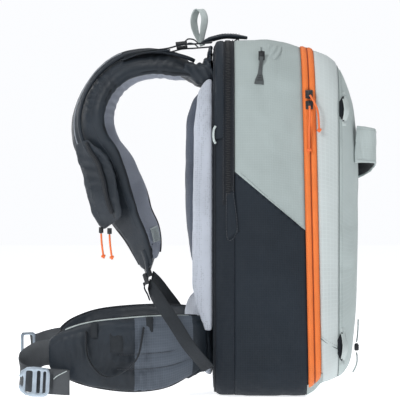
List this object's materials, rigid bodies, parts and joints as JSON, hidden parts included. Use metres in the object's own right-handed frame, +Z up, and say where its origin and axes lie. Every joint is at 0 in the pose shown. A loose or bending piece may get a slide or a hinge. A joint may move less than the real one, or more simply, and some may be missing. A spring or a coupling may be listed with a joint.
{
  "type": "ski backpack",
  "caption": "Tall clamshell ski pack with a padded harness and hip belt, a wrap-round front zip and a sealed rear compartment for a fan-inflated airbag.",
  "frame": {"origin": "middle of the flat base that the pack stands on", "axes": "+Z up; +X away from the wearer, out of the front panel; -Y the wearer's left"},
  "size_m": [0.5483, 0.3299, 0.5828],
  "materials": {
    "pale_fabric": "matt ripstop",
    "navy_fabric": "matt ripstop",
    "pad_fabric": "satin knit over foam",
    "back_mesh": "matt 3D mesh",
    "orange_tape": "satin zip tape",
    "orange_cord": "matt braided cord",
    "grey_cord": "matt braided cord",
    "pale_webbing": "matt woven webbing",
    "dark_webbing": "matt woven webbing",
    "airbag_fabric": "coated nylon",
    "black_plastic": "moulded",
    "grey_pull": "moulded rubbery",
    "frame_plastic": "sheet",
    "stay_alloy": "mill",
    "buckle_alloy": "satin anodised"
  },
  "bodies": {
    "pack": {"airbag_compartment": "navy_fabric", "main_compartment": "pale_fabric", "main_zip_tape_body": "orange_tape", "lid_hinge_strip": "pale_fabric", "burst_zip": "black_plastic", "frame_sheet": "frame_plastic", "frame_stay_left": "stay_alloy", "frame_stay_right": "stay_alloy", "airbag": "airbag_fabric", "divider_panel": "navy_fabric", "blower_housing": "black_plastic", "capacitor_pack": "black_plastic", "control_box": "black_plastic", "back_pad_left": "back_mesh", "back_pad_right": "back_mesh", "lumbar_pad": "back_mesh", "shoulder_yoke": "navy_fabric", "haul_handle": "dark_webbing"},
    "front_lid": {"lid_gusset": "pale_fabric", "main_zip_tape_lid": "orange_tape", "front_panel": "pale_fabric", "ski_loop_upper": "pale_webbing", "ski_loop_lower": "pale_webbing", "ski_band": "pale_fabric", "tie_lock": "black_plastic", "tie_cord_upper": "grey_cord", "tie_cord_lower": "grey_cord"},
    "shoulder_strap_left": {"shoulder_pad_left": "pad_fabric", "ladder_lock_left": "black_plastic", "lower_webbing_left": "dark_webbing", "load_lifter_left": "dark_webbing", "lifter_buckle_left": "black_plastic", "trigger_pocket": "pad_fabric", "trigger_cable": "black_plastic"},
    "shoulder_strap_right": {"shoulder_pad_right": "pad_fabric", "ladder_lock_right": "black_plastic", "lower_webbing_right": "dark_webbing", "load_lifter_right": "dark_webbing", "lifter_buckle_right": "black_plastic"},
    "hip_belt_left": {"hip_wing_left": "pad_fabric", "hip_webbing_left": "dark_webbing", "gear_loop": "dark_webbing"},
    "hip_belt_right": {"hip_wing_right": "pad_fabric", "hip_webbing_right": "dark_webbing"},
    "belt_buckle": {"hook_buckle": "buckle_alloy"},
    "belt_ring": {"catch_ring": "buckle_alloy"},
    "upper_zip_slider": {"main_slider_upper": "black_plastic", "main_pull_upper": "orange_cord"},
    "lower_zip_slider": {"main_slider_lower": "black_plastic", "main_pull_lower": "orange_cord"},
    "side_zip_slider": {"side_slider": "black_plastic"},
    "side_zip_pull": {"side_pull": "grey_pull"},
    "pocket_zip_slider_1": {"pocket_slider_1": "black_plastic", "pocket_pull_1": "orange_cord"},
    "pocket_zip_slider_2": {"pocket_slider_2": "black_plastic", "pocket_pull_2": "orange_cord"},
    "trigger": {"trigger_handle": "orange_tape"},
    "blower": {"blower_wheel": "frame_plastic"},
    "power_key": {"power_button": "orange_tape"},
    "hanging_loop": {"hang_loop": "pale_webbing"}
  },
  "joints": [
    {"name": "lid_hinge", "type": "hinge", "parent": "pack", "child": "front_lid", "pos_m": [0.072, 0, 0.007], "axis": [0, 1, 0], "range_deg": [0, 50]},
    {"name": "strap_left_swing", "type": "hinge", "parent": "pack", "child": "shoulder_strap_left", "pos_m": [-0.088, -0.14, 0.043], "axis": [-0.0125, 0.1813, 0.9834], "range_deg": [-12, 22], "deforming": ["lower_webbing_left", "load_lifter_left"]},
    {"name": "strap_right_swing", "type": "hinge", "parent": "pack", "child": "shoulder_strap_right", "pos_m": [-0.088, 0.14, 0.043], "axis": [0.0125, 0.1813, -0.9834], "range_deg": [-12, 22], "deforming": ["lower_webbing_right", "load_lifter_right"]},
    {"name": "hip_fold_left", "type": "hinge", "parent": "pack", "child": "hip_belt_left", "pos_m": [-0.084, -0.092, 0.07], "axis": [0, 0, 1], "range_deg": [-12, 18]},
    {"name": "hip_fold_right", "type": "hinge", "parent": "pack", "child": "hip_belt_right", "pos_m": [-0.084, 0.092, 0.07], "axis": [0, 0, -1], "range_deg": [-12, 18]},
    {"name": "buckle_tilt", "type": "hinge", "parent": "hip_belt_left", "child": "belt_buckle", "pos_m": [-0.319, -0.164, 0.0265], "axis": [0, 0, 1], "range_deg": [0, 60]},
    {"name": "ring_tilt", "type": "hinge", "parent": "hip_belt_right", "child": "belt_ring", "pos_m": [-0.3545, 0.1125, 0.056], "axis": [0, 0, -1], "range_deg": [-25, 25]},
    {"name": "upper_slider_travel", "type": "slide", "parent": "pack", "child": "upper_zip_slider", "axis": [-0.022, 0.0995, 0.9948], "range_m": [0, 0.012]},
    {"name": "lower_slider_travel", "type": "slide", "parent": "pack", "child": "lower_zip_slider", "axis": [0.022, -0.0876, -0.9959], "range_m": [0, 0.09]},
    {"name": "side_slider_travel", "type": "slide", "parent": "pack", "child": "side_zip_slider", "axis": [0, -0.5269, -0.8499], "range_m": [0, 0.022]},
    {"name": "side_pull_swing", "type": "hinge", "parent": "side_zip_slider", "child": "side_zip_pull", "pos_m": [-0.0064, -0.13118, 0.50582], "axis": [-1, 0, 0], "range_deg": [0, 120]},
    {"name": "pocket_slider_1_travel", "type": "slide", "parent": "shoulder_strap_left", "child": "pocket_zip_slider_1", "axis": [-0.5076, 0.0119, 0.8615], "range_m": [0, 0.03]},
    {"name": "pocket_slider_2_travel", "type": "slide", "parent": "shoulder_strap_left", "child": "pocket_zip_slider_2", "axis": [-0.5076, 0.0119, 0.8615], "range_m": [0, 0.03]},
    {"name": "trigger_pull", "type": "slide", "parent": "shoulder_strap_left", "child": "trigger", "axis": [0.354, -0.1116, -0.9286], "range_m": [0, 0.02]},
    {"name": "blower_spin", "type": "hinge", "parent": "pack", "child": "blower", "pos_m": [-0.06, -0.01, 0.245], "axis": [1, 0, 0], "continuous": true},
    {"name": "power_press", "type": "slide", "parent": "pack", "child": "power_key", "axis": [-1, 0, 0], "range_m": [0, 0.0012], "stiffness_N_per_m": 400, "springref_m": -0.0008},
    {"name": "hang_loop_flop", "type": "hinge", "parent": "pack", "child": "hanging_loop", "pos_m": [-0.093, 0, 0.5262], "axis": [0, -1, 0], "range_deg": [-5, 50]}
  ]
}
